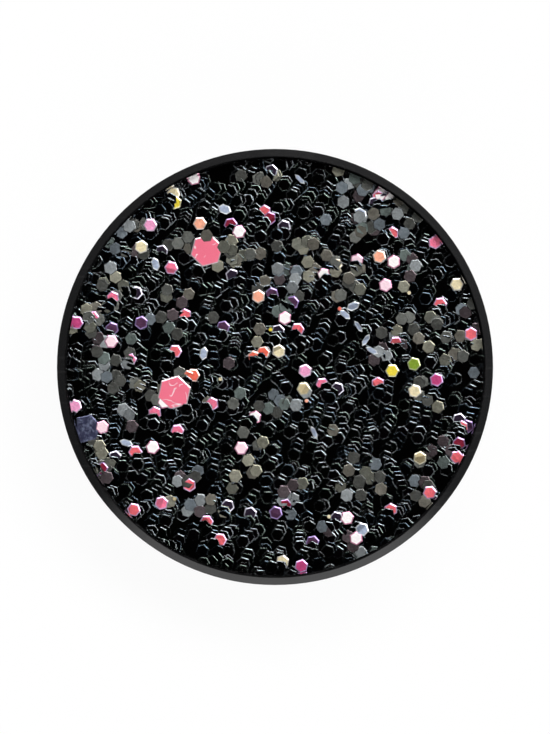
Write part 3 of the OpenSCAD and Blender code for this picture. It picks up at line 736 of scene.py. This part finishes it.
def glitter_tree():
    """Lay the stacks over the disc, set the chosen flakes in, and trim them round."""
    tree, given, out = group("glitter_flakes", "GeometryNodeTree", [
        ("Geometry", GEOMETRY, None), ("Disc radius", FLOAT, DISC_R), ("Flake width", FLOAT, 1.6),
        ("Large width", FLOAT, 4.1), ("Cut edge", FLOAT, 0.075), ("Bright edge", FLOAT, 0.14),
        ("Leaning slope", FLOAT, 0.5), ("Flat slope", FLOAT, 0.36), ("Dark gap", FLOAT, 1.62),
        ("Grey gap", FLOAT, 1.4), ("Per square mm", FLOAT, 1.2), ("Step", FLOAT, 0.55),
        ("Lean", FLOAT, 10.0), ("Seed", "NodeSocketInt", 7), ("Finish", "NodeSocketMaterial", None)],
        [("Geometry", GEOMETRY)])
    position = new(tree, "GeometryNodeInputPosition")
    # The raised edges face the upper right on the whole, and turn slowly from place to place.
    lie = remap(tree, noise(tree, position, 0.2, 1.0, 0.5), 0.3, 0.7, radians(5), radians(115))
    chosen, middles = [new(tree, "GeometryNodeMeshToPoints", {
        "Mesh": given["Geometry"], "Selection": math(tree, test, stored(tree, "drift"), 0.5)})
        for test in ("LESS_THAN", "GREATER_THAN")]
    bed = flake_stacks(tree, given, position, lie, middles)
    points = join(tree, with_overlaps(tree, chosen, lie), bed)
    lifted = shift(tree, points, combine(tree, z=stored(tree, "level")))
    flakes = trimmed_round(tree, given, position, flakes_on(tree, given, lifted))
    whole = mapped(tree, join(tree, flakes, dark_sheet(tree, given, position)))
    scaled = new(tree, "GeometryNodeTransform", {"Geometry": whole, "Scale": (MM, MM, MM)})
    done = new(tree, "GeometryNodeSetMaterial", {"Geometry": scaled, "Material": given["Finish"]})
    tree.links.new(done, out[0])
    return tree


def glitter_film():
    """The flakes' finish: film colour on the face, a bright cut edge, painted shade where a face is taken as
    bent, and creases with a painted highlight along them.
    """
    made, tree, shader, _ = material("glitter_film")
    film, cut, variant = [add(tree, "ShaderNodeAttribute", attribute_name=name).outputs["Fac"]
                          for name in ("film", "cut_edge", "variant")]
    spot = add(tree, "ShaderNodeAttribute", attribute_name="spot").outputs["Vector"]

    def is_film(name):
        return math(tree, "COMPARE", film, float(FILM[name]), 0.4)

    share = math(tree, "DIVIDE", plus(tree, film, 0.5), float(len(FILMS)))
    face = steps(tree, share, [srgb(colour) for _, colour, _ in FILMS])
    edge = steps(tree, share, [srgb(colour) for _, _, colour in FILMS])
    cell = math(tree, "ROUND", plus(tree, times(tree, film, float(VARIANTS)), variant))
    luck = split_colour(tree, add(tree, "ShaderNodeTexWhiteNoise", {"W": cell},
                                  noise_dimensions="1D").outputs["Color"])
    own = vector_math(tree, "ADD", spot, combine(tree, z=times(tree, cell, 3.7)))
    cloud = noise(tree, own, 1.3, 3, 0.6)
    bright = math(tree, "GREATER_THAN", film, FILM["ice"] - 0.5)
    # Painted shade for coloured film taken as bent over a neighbour: one side of the flat face is painted
    # darker than the other.
    way = times(tree, luck[0], 2 * pi)
    across = combine(tree, math(tree, "COSINE", way), math(tree, "SINE", way))
    side = vector_math(tree, "DOT_PRODUCT", spot, across)
    painted_bend_shade = remap(tree, minus(tree, side, mix_value(tree, luck[1], -0.5, 0.9)), -0.06, 0.06)
    bend_shade_depth = remap(tree, luck[2], 0.35, 1.0, 0.0, 0.6)
    dark_tone = remap(tree, luck[2], 0, 1, 0.62, 1.15)
    shade = mix_value(tree, bright, dark_tone, minus(tree, 1.0, times(tree, painted_bend_shade, bend_shade_depth)))
    shade = times(tree, shade, remap(tree, cloud, 0.35, 0.7, 1.04, 0.84))
    shade = times(tree, shade, remap(tree, noise(tree, own, 4.5, 2, 0.7), 0.32, 0.68, 0.82, 1.18))
    # The large pink flakes and the palest ones keep one even tone.
    creased = is_film("creased_pink")
    even = chain(tree, "MAXIMUM", creased, is_film("white"), is_film("blush"))
    shade = mix_value(tree, even, shade, 1.0)
    face = mix_colour(tree, 1.0, face, combine(tree, shade, shade, shade), "MULTIPLY")
    # Pale creases run over the large pink flakes: they are pressed in as bumps and also painted pale along
    # their lines, a painted highlight.
    crease = math(tree, "ABSOLUTE", minus(tree, noise(tree, own, 1.15, 1.5, 0.5, 0.4), 0.5))
    broken = remap(tree, noise(tree, own, 2.4, 1, 0.5), 0.48, 0.56)
    crease_and_painted_glint = times(tree, remap(tree, crease, 0.004, 0.016, 1.0, 0.0), broken, creased)
    face = mix_colour(tree, crease_and_painted_glint, face, srgb("fbe3ea"))
    # The large indigo flake is mottled, and black flakes differ in how much their edges catch.
    mottle = remap(tree, noise(tree, own, 2.6, 4, 0.75), 0.48, 0.66, 0.0, 0.55)
    face = mix_colour(tree, times(tree, is_film("indigo"), mottle), face, srgb("8f97b4"))
    catch = mix_value(tree, bright, remap(tree, luck[0], 0, 1, 0.3, 1.6), 1.0)
    edge = mix_colour(tree, 1.0, edge, combine(tree, catch, catch, catch), "MULTIPLY")
    # Black film lies flatter than the coloured films, so its faces stay one tone each.
    swell = times(tree, cloud, mix_value(tree, bright, 0.15, 1.0))
    smooth = plus(tree, 0.06, times(tree, swell, 0.12))
    # Each black face tips a little its own way, so that the bed glints flake by flake.
    tip = times(tree, minus(tree, 1.0, cut), minus(tree, 0.16, times(tree, bright, 0.16)))
    sideways = combine(tree, minus(tree, luck[0], 0.5), minus(tree, luck[1], 0.5))
    upright = add(tree, "ShaderNodeNewGeometry").outputs["Normal"]
    tipped = vector_math(tree, "NORMALIZE", vector_math(
        tree, "ADD", upright, vector_math(tree, "SCALE", sideways, scale=tip)))
    fill_named(tree, shader, {"Base Color": mix_colour(tree, cut, face, edge), "Specular IOR Level": 0.18,
                              "Metallic": times(tree, cut, mix_value(tree, bright, 1.0, 0.6)),
                              "Roughness": mix_value(tree, cut, smooth, 0.24),
                              "Normal": bump(tree, plus(tree, swell, crease_and_painted_glint), 0.02 * MM, tipped)})
    return made


def flake_points(name):
    """Bare points: the chosen flakes and the middles of the drifts."""
    # Film, x, y, level, width, sunk, squeeze and spin.
    rows = []
    for chosen, level, levels, sunk, turn in ((WHOLE, WHOLE_LEVEL, 5, 0.0, WHOLE_TURN),
                                              (SUNK, SUNK_LEVEL, 4, 1.0, SUNK_TURN)):
        for number, (film, at) in enumerate((film, at) for film, places in chosen.items() for at in places):
            rows.append((film, *at, level + LEVEL_STEP * (number % levels), 1.0, sunk, 1.0, turn * number))
    rows += [("ice", x, y, EDGE_LEVEL, 1.0, 0.0, squeeze, radians(way)) for x, y, squeeze, way in ON_EDGE]
    rows += [(*row, 0.0, 1.0, 0.3 + number) for number, row in enumerate(OVERLAPS)]
    flakes = len(rows)
    rows += [("black", x, y, 0.0, 1.0, 0.0, 1.0, 0.0) for x, y in DRIFTS]
    mesh = bpy.data.meshes.new(name)
    mesh.from_pydata([row[1:3] + (0,) for row in rows], [], [])
    columns = {"film": [float(FILM[row[0]]) for row in rows]}
    for number, label in enumerate(("level", "width", "sunk", "squeeze", "spin"), 3):
        columns[label] = [row[number] for row in rows]
    columns["variant"] = [float(number % VARIANTS) for number in range(len(rows))]
    columns["bright"] = [float(FILM[row[0]] >= FILM["ice"]) for row in rows]
    columns["drift"] = [float(number >= flakes) for number in range(len(rows))]
    for label, values in columns.items():
        mesh.attributes.new(label, "FLOAT", "POINT").data.foreach_set("value", values)
    return mesh


def run_tree(name, mesh, tree, **values):
    """Evaluate a Geometry Nodes tree on a mesh and keep the plain mesh that comes out."""
    holder = bpy.data.objects.new(name + "_seed", mesh)
    bpy.context.scene.collection.objects.link(holder)
    modifier = holder.modifiers.new("build", "NODES")
    modifier.node_group = tree
    for item in tree.interface.items_tree:
        if item.item_type == "SOCKET" and item.in_out == "INPUT" and item.name in values:
            modifier[item.identifier] = values[item.name]
    graph = bpy.context.evaluated_depsgraph_get()
    made = bpy.data.meshes.new_from_object(holder.evaluated_get(graph), preserve_all_data_layers=True,
                                           depsgraph=graph)
    bpy.data.objects.remove(holder)
    made.name = name
    return in_scene(bpy.data.objects.new(name, made))


def in_scene(piece):
    bpy.context.scene.collection.objects.link(piece)
    return piece


def glitter_bed():
    """The flakes under the clear cover, in place of the plain disc."""
    piece = run_tree("glitter_bed", flake_points("chosen_flakes"), glitter_tree(), Finish=glitter_film())
    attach(piece, "lid")
    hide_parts("glitter_disc")


# ---------------------------------------------------------------- dress the carried nodes

def dress(node, finish):
    for slot in nodes[node].material_slots:
        slot.material = finish


def middle_of(node):
    low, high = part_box(node)
    return (low + high) / 2


def latch_coil(steel):
    """The latch spring, copied in steel onto the base; the real one shortens towards its post as the button
    is pushed in.
    """
    coil = in_scene(bpy.data.objects.new("latch_coil", nodes["latch_spring"].data.copy()))
    coil.data.materials.clear()
    coil.data.materials.append(steel)
    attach(coil, "base")
    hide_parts("latch_spring")
    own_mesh(coil)


# Each cake: the shade's name, its colour, the colour of its mica and how much mica it has.
SHADES = [("black", "1b191b", "8a8790", 0.10), ("champagne", "d9b99c", "fff1dc", 0.34),
          ("coral_pink", "d9716f", "ffc9bf", 0.16), ("pewter", "70706f", "e2e2e2", 0.36),
          ("plum", "5c3348", "c58aa6", 0.20), ("antique_gold", "a58a55", "fbe3a2", 0.36),
          ("pearl", "e6dcd6", "ffffff", 0.30)]


def dress_all():
    case = black_plastic("case_plastic", (0.0055, 0.0055, 0.006, 1), rough=0.16, grain_depth=0.004,
                         wear=0.55, scratches=0.5)
    tray = black_plastic("tray_plastic", (0.009, 0.009, 0.0095, 1), rough=0.42, grain_depth=0.010,
                         wear=0.5, scratches=0.4, grain_per_mm=7.0, dust=0.7)
    ring = black_plastic("frame_plastic", (0.006, 0.006, 0.0065, 1), rough=0.22, grain_depth=0.003,
                         wear=0.5, scratches=0.6)
    for node in ("base_shell", "lid_shell", "latch_button"):
        dress(node, case)
    dress("pan_tray", tray)
    dress("mirror_frame", ring)
    for number, (name, colour, fleck, shimmer) in enumerate(SHADES, 1):
        cake, pan = f"shadow_{number}", f"pan_{number}"
        dress(cake, pressed_powder(f"powder_{name}", srgb(colour), srgb(fleck), shimmer, middle_of(cake)))
        dress(pan, spun_metal(f"pan_tin_{number}", (0.72, 0.71, 0.69, 1), 0.24, middle_of(pan)))
    steel = drawn_steel()
    dress("hinge_pin", steel)
    latch_coil(steel)
    dress("mirror", silvered_glass())
    dress("mirror_pad", foam())
    dress("clear_cover", clear_acrylic())


# ---------------------------------------------------------------- studio

# The way to the bright lamp, from the middle of the lid.
KEY_WAY = radians(60)


def studio_world():
    """A dim tent with a dark opening overhead, a soft lamp in front and a brighter one to the right."""
    world = bpy.data.worlds.new("studio")
    tree = bare_tree(world)
    x, y, z = split(tree, add(tree, "ShaderNodeTexCoord").outputs["Generated"])
    height = times(tree, math(tree, "ARCSINE", z), 180 / pi)
    bearing = times(tree, math(tree, "ARCTAN2", y, x), 180 / pi)

    def lamp(toward, half_wide, up, half_high, soft, level):
        """A soft-edged panel of light; its bearing, height and sizes are in degrees."""
        off = math(tree, "ABSOLUTE", math(tree, "WRAP", minus(tree, bearing, toward), 180.0, -180.0))
        side = remap(tree, off, half_wide, half_wide + 2.5 * soft, 1.0, 0.0, smooth=True)
        rise = math(tree, "ABSOLUTE", minus(tree, height, up))
        tall = remap(tree, rise, half_high, half_high + soft, 1.0, 0.0, smooth=True)
        return times(tree, side, tall, level)

    toward_key = plus(tree, times(tree, x, cos(KEY_WAY)), times(tree, y, sin(KEY_WAY)))
    tent = plus(tree, 0.18, times(tree, toward_key, 0.08))
    tent = times(tree, tent, remap(tree, height, 44, 55, 1.0, 0.03, smooth=True))
    front = lamp(toward=-90, half_wide=34, up=34, half_high=8, soft=8, level=1.75)
    key = lamp(toward=62, half_wide=42, up=54, half_high=6, soft=7, level=8.6)
    horizon = remap(tree, height, 1.5, 4.0, 0.72, 0.0, smooth=True)
    total = plus(tree, plus(tree, tent, front), plus(tree, key, horizon))
    back = new(tree, "ShaderNodeBackground", {"Color": grey(1), "Strength": total})
    add(tree, "ShaderNodeOutputWorld", {0: back})
    bpy.context.scene.world = world


def pale_floor():
    """A white floor that keeps a little of the object's shadow, and is clear when seen from below."""
    far, low = 30.0, -0.03 * MM
    mesh = bpy.data.meshes.new("floor")
    mesh.from_pydata([(-far, -far, low), (far, -far, low), (far, far, low), (-far, far, low)], [],
                     [(0, 1, 2, 3)])
    made = bpy.data.materials.new("floor_white")
    tree = bare_tree(made)
    lit = new(tree, "ShaderNodeBsdfDiffuse", {"Color": grey(1)})
    plain = new(tree, "ShaderNodeEmission", {"Color": grey(1), "Strength": 1.0})
    path = add(tree, "ShaderNodeLightPath").outputs
    seen = chain(tree, "MAXIMUM", path["Is Camera Ray"], path["Is Glossy Ray"], path["Is Transmission Ray"])
    both = new(tree, "ShaderNodeMixShader", {0: times(tree, seen, 0.95), 1: lit, 2: plain})
    below = add(tree, "ShaderNodeNewGeometry").outputs["Backfacing"]
    clear = new(tree, "ShaderNodeBsdfTransparent")
    upper = new(tree, "ShaderNodeMixShader", {0: below, 1: both, 2: clear})
    add(tree, "ShaderNodeOutputMaterial", {0: upper})
    mesh.materials.append(made)
    in_scene(bpy.data.objects.new("floor", mesh))


def camera():
    """Looks straight down on the lid, with its far edge, where the hinge is, up in the picture."""
    data = bpy.data.cameras.new("camera")
    data.lens = 200
    data.clip_start = 0.01
    seen = in_scene(bpy.data.objects.new("camera", data))
    seen.location = (0, 0, 0.5558)
    bpy.context.scene.camera = seen


bpy.context.scene.view_settings.view_transform = "Standard"
studio_world()
pale_floor()
camera()
dress_all()
glitter_bed()
